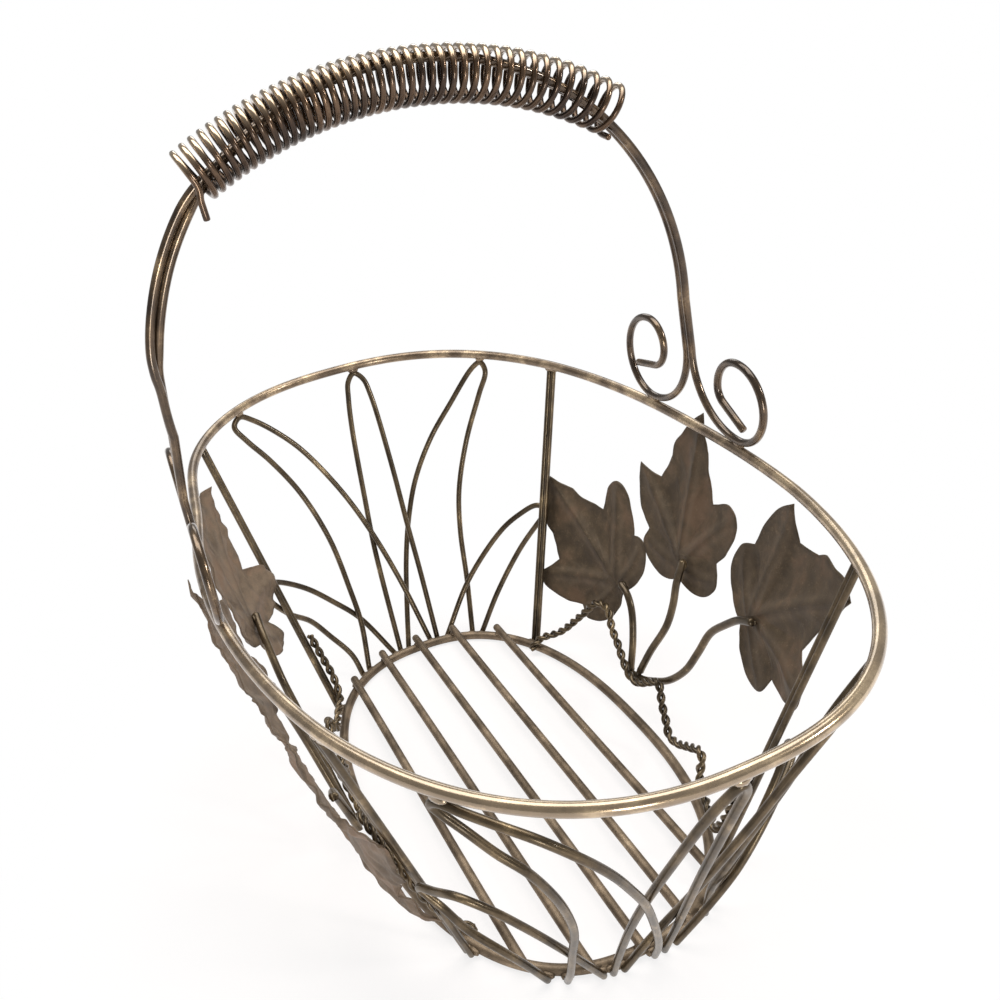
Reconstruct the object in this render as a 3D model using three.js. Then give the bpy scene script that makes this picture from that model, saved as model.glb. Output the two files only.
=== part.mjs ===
// Wire fruit basket with ivy leaf sides, grass blade ends and an arched carrying handle.
// Millimetres, +Z up, the basket rests on z = 0. X runs across the basket, Y along it.

import * as THREE from "three";

// Wire and sheet sizes
const SEAT = 0.3; // gap kept where two pieces touch
const HOOP_WIRE = 4;
const BAR_WIRE = 3.4;
const WALL_WIRE = 2.5;
const POST_WIRE = 2.2;
const STEM_WIRE = 3;
const HANDLE_WIRE = 2.8;
const COIL_WIRE = 2;
const VINE_WIRE = 1.5;
const LEAF_SHEET = 0.8;

// Rim and base hoops, both ovals a little squarer than an ellipse.
// The rim is pressed in on the left: how deep, how far along the side, and over what reach
const RIM = { halfWidth: 93, halfLength: 160, squareness: 2.36, height: 124 };
const PRESSED = { depth: 5.2, along: 55, reach: 40 };
const BASE = { halfWidth: 58, halfLength: 99, squareness: 2.4 };
const HOOP_CORNERS = 64;

// Bars lying on the base hoop
const BAR_COUNT = 5;
const BAR_PITCH = 17.9;
const BAR_OVERHANG = 3.6; // from the hoop's centre line to the bar's tip

// Carrying handle: two wires side by side, each ending in a scroll on the rim.
// A scroll is one run of bends, each radius smaller than the last, with a straight tail
const HANDLE_TOP = 265.4;
const ARCH_LEAN = 1.5; // how far left the arch stands
const ARCH_TURN = 126; // degrees of the round arch, from the right leg up and over
const SCROLLS = {
  far: { foot: 24.9, loop: 15.6, curl: 9.5, hook: 8.8, hookTurn: 80, tail: 12 },
  near: { foot: 26.6, loop: 14.2, curl: 11.4, hook: 6.2, hookTurn: 60, tail: 13 },
};
// The left leg from the centre of the arch, as [degrees, mm, turn of the pair in degrees]:
// below the coil the wires stand side by side, and above the scrolls one behind the other again
const LEFT_LEG = [
  [130.5, 92.5, 0], [135, 92.6, 38], [140, 92.4, 74], [146, 91.7, 80], [153, 90.8, 80],
  [160, 90, 70], [166, 89.1, 32], [171, 87.8, 8], [179, 86.9, 0],
];
const BEND_STEP = 22.5; // degrees between stations in a bend

// Grip coil wound loosely over the handle
const COIL_WIDTH = 17;
const COIL_TURNS = 42.75;
const COIL_REACH = 67; // half of its span across the basket
const COIL_SLIP = 4.5; // how far it has slipped to the right
const COIL_SIDES = 8; // straight steps in one turn
const COIL_TAILS = { left: 8, right: 3 };

// Twisted vine wire
const VINE_PITCH = 9.5;

const mm = (v) => v.toFixed(2);

const finishes = {
  hoop: { color: 0x7d6c53, metalness: 0.85, roughness: 0.38 },
  wire: { color: 0x584d3f, metalness: 0.85, roughness: 0.45 },
  handle: { color: 0x665a49, metalness: 0.85, roughness: 0.4 },
  coil: { color: 0x6f624e, metalness: 0.85, roughness: 0.36 },
  leaf: { color: 0x5d5143, metalness: 0.6, roughness: 0.68 },
};
const materials = Object.fromEntries(
  Object.entries(finishes).map(([name, look]) => [name, new THREE.MeshStandardMaterial(look)]),
);

function piece(name, geometry, finish) {
  const mesh = new THREE.Mesh(geometry, materials[finish]);
  mesh.name = name;
  return mesh;
}

// A level oval, started at +X and run anticlockwise
class Oval extends THREE.Curve {
  constructor({ halfWidth, halfLength, squareness, height, pressed }) {
    super();
    Object.assign(this, { halfWidth, halfLength, squareness, height, pressed });
    this.arcLengthDivisions = 720;
  }

  // How far its left side is pressed in at a distance y from its short axis
  dentAt(y) {
    if (!this.pressed) return 0;
    const { depth, along, reach } = this.pressed;
    return depth * Math.exp(-(((y - along) / reach) ** 2));
  }

  getPoint(t, target = new THREE.Vector3()) {
    const across = Math.cos(2 * Math.PI * t);
    const along = Math.sin(2 * Math.PI * t);
    const power = this.squareness;
    const fill = Math.abs(across / this.halfWidth) ** power + Math.abs(along / this.halfLength) ** power;
    const reach = fill ** (-1 / power);
    const dent = across < 0 ? this.dentAt(reach * along) : 0;
    return target.set(reach * across + dent, reach * along, this.height);
  }

  // Half of the oval's length at a distance x from its long axis
  lengthAt(x) {
    const share = 1 - Math.abs(x / this.halfWidth) ** this.squareness;
    return this.halfLength * share ** (1 / this.squareness);
  }

  // Half of its width, where it isn't pressed, at a distance y from its short axis
  widthAt(y) {
    const share = 1 - Math.abs(y / this.halfLength) ** this.squareness;
    return this.halfWidth * share ** (1 / this.squareness);
  }
}

// Hoops have an eight-sided section, with one side facing down
const HOOP_FLAT = (HOOP_WIRE / 2) * Math.cos(Math.PI / 8);
const HOOP_EDGE = (HOOP_WIRE / 2) * Math.sin(Math.PI / 8);
const rim = new Oval({ ...RIM, pressed: PRESSED });
const base = new Oval({ ...BASE, height: HOOP_FLAT });
const RIM_LENGTH = rim.getLength();

function offsetOutline(oval, offset) {
  const points = [];
  for (let i = 0; i < HOOP_CORNERS; i++) {
    const point = oval.getPointAt(i / HOOP_CORNERS);
    const along = oval.getTangentAt(i / HOOP_CORNERS);
    points.push(new THREE.Vector2(point.x + offset * along.y, point.y - offset * along.x));
  }
  return points;
}

function hoop(oval) {
  const outline = new THREE.Shape(offsetOutline(oval, HOOP_EDGE));
  outline.holes.push(new THREE.Path(offsetOutline(oval, -HOOP_EDGE)));
  const bevel = HOOP_FLAT - HOOP_EDGE;
  const geometry = new THREE.ExtrudeGeometry(outline, {
    depth: 2 * HOOP_EDGE,
    steps: 1,
    bevelThickness: bevel,
    bevelSize: bevel,
    bevelSegments: 1,
  });
  return geometry.translate(0, 0, oval.height - HOOP_EDGE);
}

// A bent wire given by its stations, close together in a bend and far apart on a straight
class BentWire extends THREE.Curve {
  constructor(stations) {
    super();
    this.stations = stations;
  }

  indexAt(u) {
    return Math.round(u * (this.stations.length - 1));
  }

  getPointAt(u, target = new THREE.Vector3()) {
    return target.copy(this.stations[this.indexAt(u)]);
  }

  getTangentAt(u, target = new THREE.Vector3()) {
    const i = this.indexAt(u);
    const last = this.stations.length - 1;
    const ahead = new THREE.Vector3();
    const behind = new THREE.Vector3();
    if (i < last) ahead.subVectors(this.stations[i + 1], this.stations[i]).normalize();
    if (i > 0) behind.subVectors(this.stations[i], this.stations[i - 1]).normalize();
    return target.addVectors(ahead, behind).normalize();
  }
}

function wire(stations, diameter, sides) {
  const section = new THREE.Shape();
  for (let i = 0; i < sides; i++) {
    const angle = (2 * Math.PI * (i + 0.5)) / sides;
    const corner = [(diameter / 2) * Math.cos(angle), (diameter / 2) * Math.sin(angle)];
    if (i === 0) section.moveTo(...corner);
    else section.lineTo(...corner);
  }
  section.closePath();
  return new THREE.ExtrudeGeometry(section, {
    steps: stations.length - 1,
    extrudePath: new BentWire(stations),
    bevelEnabled: false,
  });
}

// The sloping wall between the base hoop and the rim.
// around: turns from +X, up: 0 beside the base hoop and 1 under the rim, out: mm off the wall
const WALL_REACH = HOOP_FLAT + WALL_WIRE / 2 + SEAT; // from a hoop's middle to a wall wire's

function onWall(around, up, out = 0) {
  const turn = THREE.MathUtils.euclideanModulo(around, 1);
  const low = base.getPointAt(turn);
  const high = rim.getPointAt(turn);
  const along = base.getTangentAt(turn).lerp(rim.getTangentAt(turn), THREE.MathUtils.clamp(up, 0, 1));
  const outward = along.cross(new THREE.Vector3().subVectors(high, low)).normalize();
  low.addScaledVector(outward, WALL_REACH);
  high.z -= WALL_REACH;
  return low.lerp(high, up).addScaledVector(outward, out);
}

// Bends run smoothly through stations written as [mm round the rim from the panel's middle, up, out]
function smooth(middle, stations, rimLength = RIM_LENGTH) {
  const path = stations.map(([round, up, out = 0]) => onWall(middle + round / rimLength, up, out));
  return new THREE.CatmullRomCurve3(path);
}

function smoothPoints(line) {
  return line.getPoints(2 * (line.points.length - 1));
}

const basket = new THREE.Group();
basket.name = "wire_fruit_basket";
basket.add(piece("rim_hoop", hoop(rim), "hoop"));
basket.add(piece("base_hoop", hoop(base), "hoop"));

// Base bars with domed tips
function bar(halfLength) {
  const r = BAR_WIRE / 2;
  const half = [
    [0, halfLength],
    [0.65 * r, halfLength - 0.25 * r],
    [r, halfLength - r],
  ];
  const profile = [...half.map(([x, y]) => [x, -y]), ...half.reverse()];
  return new THREE.LatheGeometry(profile.map(([x, y]) => new THREE.Vector2(x, y)), 8);
}

const BAR_HEIGHT = 2 * HOOP_FLAT + SEAT + BAR_WIRE / 2;
for (let i = 0; i < BAR_COUNT; i++) {
  const x = (i - (BAR_COUNT - 1) / 2) * BAR_PITCH;
  const rod = piece(`base_bar_${i + 1}`, bar(base.lengthAt(x) + BAR_OVERHANG), "wire");
  rod.position.set(x, 0, BAR_HEIGHT);
  basket.add(rod);
}

// Wires of the wall stop just above the table and just below the rim
const SLOPE = onWall(0, 0).distanceTo(onWall(0, 1));
const FOOT = 1 / SLOPE;
const HEAD = 1 + 0.75 / SLOPE;
const TIP = 0.998; // top of a bend under the rim

// Corner posts, each a pair of straight wires; head and foot in turns from +X
const POSTS = {
  far_right: { head: 0.1128, foot: 0.1392 },
  far_left: { head: 0.3573, foot: 0.3552 },
  near_left: { head: 0.6128, foot: 0.6392 },
  near_right: { head: 0.8704, foot: 0.846 },
};

const POST_OUT = (POST_WIRE - WALL_WIRE) / 2;
for (const [corner, { head, foot }] of Object.entries(POSTS)) {
  const low = onWall(foot, FOOT, POST_OUT);
  const high = onWall(head, HEAD, POST_OUT);
  const apart = rim.getTangentAt(head).multiplyScalar((POST_WIRE + SEAT) / 2);
  [-1, 1].forEach((side, i) => {
    const ends = [low, high].map((end) => end.clone().addScaledVector(apart, side));
    basket.add(piece(`post_${corner}_${i + 1}`, wire(ends, POST_WIRE, 8), "wire"));
  });
}

// Grass blades of the end panels: hairpins whose tips touch the rim or a post.
// The tall ones cross each other, so each keeps its own layer off the wall.
// A blade keeps its share of the rim, so its stations are written for a rim of this length
const BLADE_RIM = 831.6;
const LAYER = WALL_WIRE + SEAT;
const BLADES = {
  far: {
    left_low: [
      [17.5, FOOT], [32.3, 0.18], [45.5, 0.28], [60, 0.385, 0.4 * LAYER], [79, 0.485, LAYER],
      [87, 0.503, LAYER], [92, 0.503, LAYER], [95, 0.491, LAYER], [93.4, 0.466, LAYER],
      [81.2, 0.37, LAYER], [66, 0.284, LAYER], [56.2, 0.19, LAYER], [49.5, 0.09], [47.5, FOOT],
    ],
    left_tall: [
      [-10.8, FOOT], [-1.3, 0.25, -LAYER], [7.2, 0.45, -LAYER], [16.3, 0.62, -LAYER],
      [29.2, 0.8, -LAYER], [38.5, 0.897, -0.5 * LAYER], [46.5, 0.965], [53, TIP], [59, 0.98],
      [56.5, 0.92, -0.4 * LAYER], [49.5, 0.82, -LAYER], [39.7, 0.67, -LAYER], [33.5, 0.48, -LAYER],
      [33.5, 0.29, -LAYER], [35, 0.17, -LAYER], [40.8, FOOT],
    ],
    middle: [
      [-16.1, FOOT], [-16.4, 0.26], [-16.1, 0.42], [-16.1, 0.67], [-14.9, 0.91], [-13.3, 0.972],
      [-9.7, TIP], [-6, 0.972],
      [-4, 0.92], [-1.2, 0.81], [3.6, 0.56], [7.3, 0.38], [12.8, FOOT],
    ],
    right_tall: [
      [-41.8, FOOT], [-44.1, 0.2, LAYER], [-45.6, 0.38, LAYER], [-49.2, 0.53, LAYER],
      [-57.8, 0.71, LAYER], [-69, 0.88, 0.5 * LAYER], [-74.8, 0.965], [-72.6, 0.996], [-68, 0.975],
      [-52.4, 0.84, 0.5 * LAYER], [-38.9, 0.72, LAYER], [-26.6, 0.58, LAYER], [-17.5, 0.44, LAYER],
      [-10.4, 0.31, LAYER], [-3.5, 0.17, LAYER], [6.5, FOOT],
    ],
    right_low: [
      [-48.9, FOOT], [-65, 0.16], [-82.8, 0.33, LAYER], [-98.4, 0.45, LAYER], [-102.6, 0.482, LAYER],
      [-102.4, 0.504, LAYER], [-97, 0.506, LAYER], [-85.2, 0.46, LAYER], [-72.5, 0.39, 0.4 * LAYER],
      [-46, 0.2], [-23.5, FOOT],
    ],
  },
  near: {
    left_low: [
      [18, FOOT], [29, 0.16], [41, 0.28], [58.5, 0.4], [74, 0.466, 0.6 * LAYER],
      [82, 0.484, LAYER], [86, 0.482, LAYER], [88, 0.468, LAYER], [86.5, 0.447, LAYER],
      [80, 0.4, 0.7 * LAYER], [70, 0.32, 0.2 * LAYER], [54.5, 0.185], [49, 0.09], [47.5, FOOT],
    ],
    left_tall: [
      [-12, FOOT], [-3.5, 0.12, -0.5 * LAYER], [5.5, 0.19, -LAYER], [11, 0.29, -LAYER],
      [18, 0.45, -LAYER], [25, 0.6, -LAYER], [33, 0.75, -LAYER], [41, 0.865, -0.7 * LAYER],
      [47, 0.93, -0.4 * LAYER], [52, 0.978], [55.5, TIP], [59, 0.98],
      [57, 0.92, -0.4 * LAYER], [51, 0.82, -LAYER], [42, 0.67, -LAYER], [35.5, 0.48, -LAYER],
      [34.5, 0.29, -LAYER], [35.5, 0.17, -LAYER], [40.8, FOOT],
    ],
    middle: [
      [-17.6, FOOT], [-18.4, 0.17], [-18.2, 0.36], [-16.4, 0.52], [-12.8, 0.7], [-8.8, 0.88],
      [-6, 0.955], [-3, TIP], [-0.3, 0.965],
      [0.4, 0.88], [1.2, 0.74], [2.6, 0.55], [5, 0.36], [8, 0.18], [10.8, FOOT],
    ],
    right_tall: [
      [-39.5, FOOT], [-39.3, 0.15, 0.95 * LAYER], [-39.3, 0.326, LAYER], [-39.4, 0.457, LAYER],
      [-41.8, 0.577, LAYER], [-46.2, 0.699, LAYER], [-52.8, 0.8, 0.8 * LAYER],
      [-60.2, 0.85, 0.5 * LAYER], [-67.9, 0.91, 0.2 * LAYER], [-74.2, 0.95], [-76.5, 0.98],
      [-73.5, TIP], [-68, 0.985], [-59, 0.965, 0.1 * LAYER], [-49.6, 0.945, 0.5 * LAYER],
      [-40.2, 0.89, 0.9 * LAYER], [-32.3, 0.803, LAYER], [-24.7, 0.679, LAYER], [-19.1, 0.574, LAYER],
      [-8.4, 0.318, LAYER], [-1, 0.15, 0.6 * LAYER], [4.9, FOOT],
    ],
    right_low: [
      [-49, FOOT], [-57.9, 0.143, 0.4 * LAYER], [-65.6, 0.24, 0.8 * LAYER], [-79.4, 0.337, LAYER],
      [-87.2, 0.418, LAYER], [-93.5, 0.455, LAYER], [-95.8, 0.475, LAYER], [-94, 0.492, LAYER],
      [-88.2, 0.513, LAYER], [-76.6, 0.556, LAYER], [-66.4, 0.51, 0.6 * LAYER],
      [-55.5, 0.41, 0.2 * LAYER], [-42.8, 0.268], [-22.5, FOOT],
    ],
  },
};

// Ivy leaf stamping seen from outside, tip up, with the notch of its base at 0, 0.
// Edge as [x, y, pressed out]: the veins run low to the points, the sheet bulges between them
const LEAF_EDGE = [
  [-1, 0, 0.8], [6, -2.4, 1.1], [13.8, -2.5, 1.2], [20, 0.4, 1.1], [24.2, 4.4, 0.9], [26.2, 8, 1.2],
  [24.2, 14, 2.1], [29.5, 22, 1.5], [32.5, 30, 0.8], [32.2, 38, 0.4], [29.5, 40, 0.7], [23.5, 38.8, 1.4],
  [17.5, 37.8, 2.2], [16, 43, 2], [14, 47.5, 1.7], [10.8, 53.5, 1.3], [7.5, 57.2, 1], [2, 63.5, 0.7],
  [-4.4, 68, 0.3], [-6.5, 61.5, 0.8], [-8.6, 53.5, 1.2], [-10.3, 47.5, 1.6], [-12.3, 40.5, 1.9],
  [-15, 34.2, 2.2], [-18.5, 35.8, 1.7], [-25.5, 38, 1.1], [-31, 36, 0.5], [-31.6, 32, 0.7],
  [-30.6, 26.5, 1.3], [-26.8, 18.5, 1.8], [-21.8, 13.6, 2.1], [-24.7, 10.2, 1.2], [-25.5, 6.5, 0.9],
  [-22.8, 1.8, 1.1], [-17.2, -1.7, 1.2], [-9.5, -2.8, 1.1], [-4.5, -1.6, 1],
];
const LEAF_HEART = [0, 11]; // where the veins meet
const LEAF_ROWS = [0, 0.4, 0.78, 1]; // share of the way from the heart to the edge
const LEAF_OUT = STEM_WIRE / 2 + SEAT + LEAF_SHEET / 2;

// The wall rolled out flat: x mm from the panel's middle, y mm up the slope
const NARROWING = base.getLength() / RIM_LENGTH;

function onRolledWall(middle, x, y, out) {
  const up = y / SLOPE;
  const round = x / THREE.MathUtils.lerp(NARROWING, 1, up);
  return onWall(middle + round / RIM_LENGTH, up, out);
}

// The grid of a sphere pressed flat: front rows run from the heart to the edge, back rows return
function leaf(middle, { x, up, lean, wide, long }) {
  const rows = [...LEAF_ROWS, ...LEAF_ROWS.toReversed()];
  const geometry = new THREE.SphereGeometry(1, LEAF_EDGE.length, rows.length - 1);
  const tilt = THREE.MathUtils.degToRad(lean);
  const position = geometry.attributes.position;
  for (let i = 0; i < position.count; i++) {
    const row = Math.floor(i / (LEAF_EDGE.length + 1));
    const [edgeX, edgeY, lift] = LEAF_EDGE[(i % (LEAF_EDGE.length + 1)) % LEAF_EDGE.length];
    const flatX = wide * THREE.MathUtils.lerp(LEAF_HEART[0], edgeX, rows[row]);
    const flatY = long * THREE.MathUtils.lerp(LEAF_HEART[1], edgeY, rows[row]);
    const face = row < LEAF_ROWS.length ? 1 : -1;
    const out = LEAF_OUT + lift * rows[row] + (face * LEAF_SHEET) / 2;
    const across = x + flatX * Math.cos(tilt) + flatY * Math.sin(tilt);
    const rise = up * SLOPE - flatX * Math.sin(tilt) + flatY * Math.cos(tilt);
    position.setXYZ(i, ...onRolledWall(middle, across, rise, out));
  }
  return geometry;
}

// Leaves of a side panel: base notch on the rolled-out wall, lean from upright in degrees, and how
// wide and long the leaf is drawn out beside the edge line
const LEAVES = {
  low: { x: 30, up: 0.337, lean: 61.5, wide: 1.05, long: 0.99 },
  middle: { x: -2.8, up: 0.5225, lean: 6.4, wide: 0.97, long: 0.97 },
  high: { x: -44.3, up: 0.56, lean: -52, wide: 0.97, long: 1.1 },
};

// The three stems meet at their feet: the low and middle ones stand on the end of the high one
const ON_STEM = (STEM_WIRE + SEAT) / SLOPE;
const STEM_FOOT = 0.119;
const STEMS = {
  low: [[36.9, 0.381], [30.6, 0.362], [24.9, 0.317], [20.4, 0.224], [18.6, STEM_FOOT + 0.1 * ON_STEM]],
  middle: [
    [-9.1, 0.599], [-7.8, 0.521], [-8.6, 0.448], [-7, 0.366], [2.6, 0.239],
    [9, STEM_FOOT + ON_STEM],
  ],
  high: [
    [-65.5, 0.606], [-57.3, 0.577], [-49, 0.524], [-41, 0.461], [-36.4, 0.372], [-30.8, 0.286],
    [-18.9, 0.203], [-3.8, 0.149], [6, 0.125], [15.5, STEM_FOOT - 0.005],
  ],
};

// The vine wanders along the inner side of a side panel, hooks over the base hoop by one post
// and climbs the other
const VINE_HELIX = VINE_WIRE / 2 + 0.3;
const VINE_IN = -(STEM_WIRE / 2 + SEAT + VINE_HELIX + VINE_WIRE / 2);
const VINE = [
  [110, 0, 2.2 * VINE_IN], [104, 0.042, 1.5 * VINE_IN], [87, 0.095, VINE_IN], [66, 0.2, VINE_IN],
  [51, 0.281, VINE_IN], [41, 0.284, VINE_IN], [35.2, 0.23, VINE_IN], [28, 0.195, VINE_IN],
  [19.5, 0.15, VINE_IN], [12, 0.124, VINE_IN], [3, 0.125, VINE_IN], [-9, 0.165, VINE_IN],
  [-17, 0.188, VINE_IN], [-24.8, 0.135, VINE_IN], [-32, 0.1, VINE_IN], [-38.5, 0.068, VINE_IN],
  [-47.3, 0.07, VINE_IN], [-61.6, 0.112, VINE_IN], [-71.6, 0.14, VINE_IN], [-76.4, 0.125, VINE_IN],
  [-78.6, 0.088, VINE_IN], [-85, 0.06, VINE_IN], [-104, 0.052, VINE_IN], [-117.5, 0.058, VINE_IN],
  [-122.6, 0.12, VINE_IN], [-121.7, 0.2, VINE_IN], [-120.5, 0.29, VINE_IN],
];

// Two strands twisted round the vine's middle line
function strand(middle, phase) {
  const line = smooth(middle, VINE);
  line.arcLengthDivisions = 400;
  const turns = Math.round(line.getLength() / VINE_PITCH);
  const steps = 6 * turns;
  const frames = line.computeFrenetFrames(steps, false);
  const stations = [];
  for (let i = 0; i <= steps; i++) {
    const angle = 2 * Math.PI * (turns * (i / steps) + phase);
    stations.push(
      line
        .getPointAt(i / steps)
        .addScaledVector(frames.normals[i], VINE_HELIX * Math.cos(angle))
        .addScaledVector(frames.binormals[i], VINE_HELIX * Math.sin(angle)),
    );
  }
  return wire(stations, VINE_WIRE, 4);
}

// Middles of the panels, in turns from +X
const ENDS = { far: 0.25, near: 0.75 };
const SIDES = { right: 0, left: 0.5 };

for (const [end, blades] of Object.entries(BLADES)) {
  for (const [blade, stations] of Object.entries(blades)) {
    const path = smoothPoints(smooth(ENDS[end], stations, BLADE_RIM));
    basket.add(piece(`blade_${end}_${blade}`, wire(path, WALL_WIRE, 6), "wire"));
  }
}

for (const [side, middle] of Object.entries(SIDES)) {
  for (const [name, placing] of Object.entries(LEAVES)) {
    const path = smoothPoints(smooth(middle, STEMS[name]));
    basket.add(piece(`leaf_${side}_${name}`, leaf(middle, placing), "leaf"));
    basket.add(piece(`stem_${side}_${name}`, wire(path, STEM_WIRE, 6), "wire"));
  }
  basket.add(piece(`vine_${side}_strand_1`, strand(middle, 0), "wire"));
  basket.add(piece(`vine_${side}_strand_2`, strand(middle, 0.5), "wire"));
}

// Arc stations in a plane spanned by two directions, from one angle to another in degrees
function arc(centre, right, up, radius, from, to, step = BEND_STEP) {
  const count = Math.ceil(Math.abs(to - from) / step);
  const stations = [];
  for (let i = 1; i <= count; i++) {
    const angle = THREE.MathUtils.degToRad(THREE.MathUtils.lerp(from, to, i / count));
    stations.push(
      centre
        .clone()
        .addScaledVector(right, radius * Math.cos(angle))
        .addScaledVector(up, radius * Math.sin(angle)),
    );
  }
  return stations;
}

const UP = new THREE.Vector3(0, 0, 1);
const ACROSS = new THREE.Vector3(1, 0, 0);
const LEG_APART = (HANDLE_WIRE + SEAT) / 2;
const SCROLL_FOOT = RIM.height + HOOP_FLAT + SEAT + HANDLE_WIRE / 2;
const scrollMiddle = (name) => LEG_APART + SCROLLS[name].foot;
const LEG_REACH = rim.widthAt(scrollMiddle("far"));
const ARCH_CENTRE = HANDLE_TOP - LEG_REACH;

// One scroll, from the foot of the leg to the tip of the tail.
// Its flat side faces across the rim: middle lies between the legs, out points along the rim
function scroll(middle, out, name) {
  const { foot, loop, curl, hook, hookTurn, tail } = SCROLLS[name];
  const at = (y, z) => middle.clone().addScaledVector(out, y).addScaledVector(UP, z);
  const y = scrollMiddle(name);
  const top = SCROLL_FOOT + 2 * loop;
  const stations = [
    at(LEG_APART, SCROLL_FOOT + foot),
    ...arc(at(y, SCROLL_FOOT + foot), out, UP, foot, 180, 270),
    ...arc(at(y, SCROLL_FOOT + loop), out, UP, loop, -90, 90),
    ...arc(at(y, top - curl), out, UP, curl, 90, 180),
    ...arc(at(y - curl + hook, top - curl), out, UP, hook, 180, 180 + hookTurn),
  ];
  const heading = THREE.MathUtils.degToRad(270 + hookTurn);
  const tip = stations.at(-1).clone();
  tip.addScaledVector(out, tail * Math.cos(heading));
  tip.addScaledVector(UP, tail * Math.sin(heading));
  return [...stations, tip];
}

// Where the legs of a side meet the line between the places where its two scrolls stand on the rim
function standing(side) {
  const onRim = (y) => new THREE.Vector3(side * rim.widthAt(y) + (side < 0 ? rim.dentAt(y) : 0), y, 0);
  const [near, far] = [onRim(-scrollMiddle("near")), onRim(scrollMiddle("far"))];
  const middle = near.clone().lerp(far, near.y / (near.y - far.y));
  return { middle, along: far.sub(near).normalize() };
}

// The left leg's stations, the wire on the near or far side of the pair
function leftLeg(away) {
  const bend = new THREE.CatmullRomCurve3(LEFT_LEG.map((station) => new THREE.Vector3(...station)));
  return bend.getPoints(2 * (LEFT_LEG.length - 1)).map(({ x: degrees, y: reach, z: turn }) => {
    const angle = THREE.MathUtils.degToRad(degrees);
    const apart = THREE.MathUtils.degToRad(turn);
    const radius = reach - away * LEG_APART * Math.sin(apart);
    return new THREE.Vector3(
      radius * Math.cos(angle) - ARCH_LEAN,
      away * LEG_APART * Math.cos(apart),
      radius * Math.sin(angle) + ARCH_CENTRE,
    );
  });
}

for (const [name, away] of Object.entries({ far: 1, near: -1 })) {
  const [right, left] = [standing(1), standing(-1)];
  const arch = new THREE.Vector3(-ARCH_LEAN, away * LEG_APART, ARCH_CENTRE);
  const stations = [
    ...scroll(right.middle, right.along.multiplyScalar(away), name).reverse(),
    arch.clone().addScaledVector(ACROSS, LEG_REACH),
    ...arc(arch, ACROSS, UP, LEG_REACH, 0, ARCH_TURN, 0.4 * BEND_STEP),
    ...leftLeg(away),
    ...scroll(left.middle, left.along.multiplyScalar(away), name),
  ];
  basket.add(piece(`handle_wire_${name}`, wire(stations, HANDLE_WIRE, 8), "handle"));
}

// The coil is stiffer than the arch, so the wires press on the inside of its top at mid-span
// and on the inside of its bottom at both ends
const COIL_HELIX = (COIL_WIDTH - COIL_WIRE) / 2;
const coilInside = COIL_HELIX * Math.cos(Math.PI / COIL_SIDES) - COIL_WIRE / 2;
const coilRoom = coilInside - HANDLE_WIRE / 2 - SEAT;
const coilShift = Math.sqrt(coilRoom ** 2 - LEG_APART ** 2);
const archAt = (x) => ARCH_CENTRE + Math.sqrt(LEG_REACH ** 2 - x ** 2);
const coilTop = HANDLE_TOP - coilShift;
const coilSag = coilTop - (archAt(COIL_REACH) + 1.15 * coilShift);
const COIL_BEND = (COIL_REACH ** 2 + coilSag ** 2) / (2 * coilSag);

// Turns stand close left of the middle and open out towards both ends, most at the right
const CLOSEST = 0.27;
const OPENING = 1.44;
function coilShare(t) {
  const travel = (s) => s + (OPENING * ((s - CLOSEST) ** 3 + CLOSEST ** 3)) / 3;
  return travel(t) / travel(1);
}

// Points of the coil from the centre of the arch
function coilPoint(t) {
  const half = Math.asin(COIL_REACH / COIL_BEND);
  const lean = half * (2 * coilShare(t) - 1);
  const spin = 2 * Math.PI * (0.25 + COIL_TURNS * t);
  const radial = new THREE.Vector3(Math.sin(lean), 0, Math.cos(lean));
  return radial
    .clone()
    .multiplyScalar(COIL_BEND - COIL_HELIX * Math.cos(spin))
    .add(new THREE.Vector3(0, -COIL_HELIX * Math.sin(spin), coilTop - COIL_BEND - ARCH_CENTRE));
}

const COIL_STEPS = Math.round(COIL_SIDES * COIL_TURNS);
const coilStations = [];
for (let i = 0; i <= COIL_STEPS; i++) coilStations.push(coilPoint(i / COIL_STEPS));

function straightEnd(end, next, length) {
  return end.clone().addScaledVector(new THREE.Vector3().subVectors(end, next).normalize(), length);
}
coilStations.unshift(straightEnd(coilPoint(0), coilPoint(0.001), COIL_TAILS.left));
coilStations.push(straightEnd(coilPoint(1), coilPoint(0.999), COIL_TAILS.right));
const coil = piece("grip_coil", wire(coilStations, COIL_WIRE, 5), "coil");
coil.position.set(-ARCH_LEAN, 0, ARCH_CENTRE);
coil.rotation.y = COIL_SLIP / LEG_REACH;
basket.add(coil);

// Least open space between neighbouring turns of the coil
let coilGap = Infinity;
const fine = 16 * COIL_TURNS;
for (let i = 0; i < fine; i++) {
  const here = coilPoint(i / fine);
  for (let j = i + 8; j < Math.min(i + 26, fine); j++) {
    coilGap = Math.min(coilGap, here.distanceTo(coilPoint(j / fine)) - COIL_WIRE);
  }
}
console.log(`grip coil: least gap between turns ${mm(coilGap)} mm`);

export default basket;
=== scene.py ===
"""Wire fruit basket: round wires, creased ivy leaves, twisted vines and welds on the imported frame."""

import math

import bpy
import numpy as np
from mathutils import Matrix, Vector, noise


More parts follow.
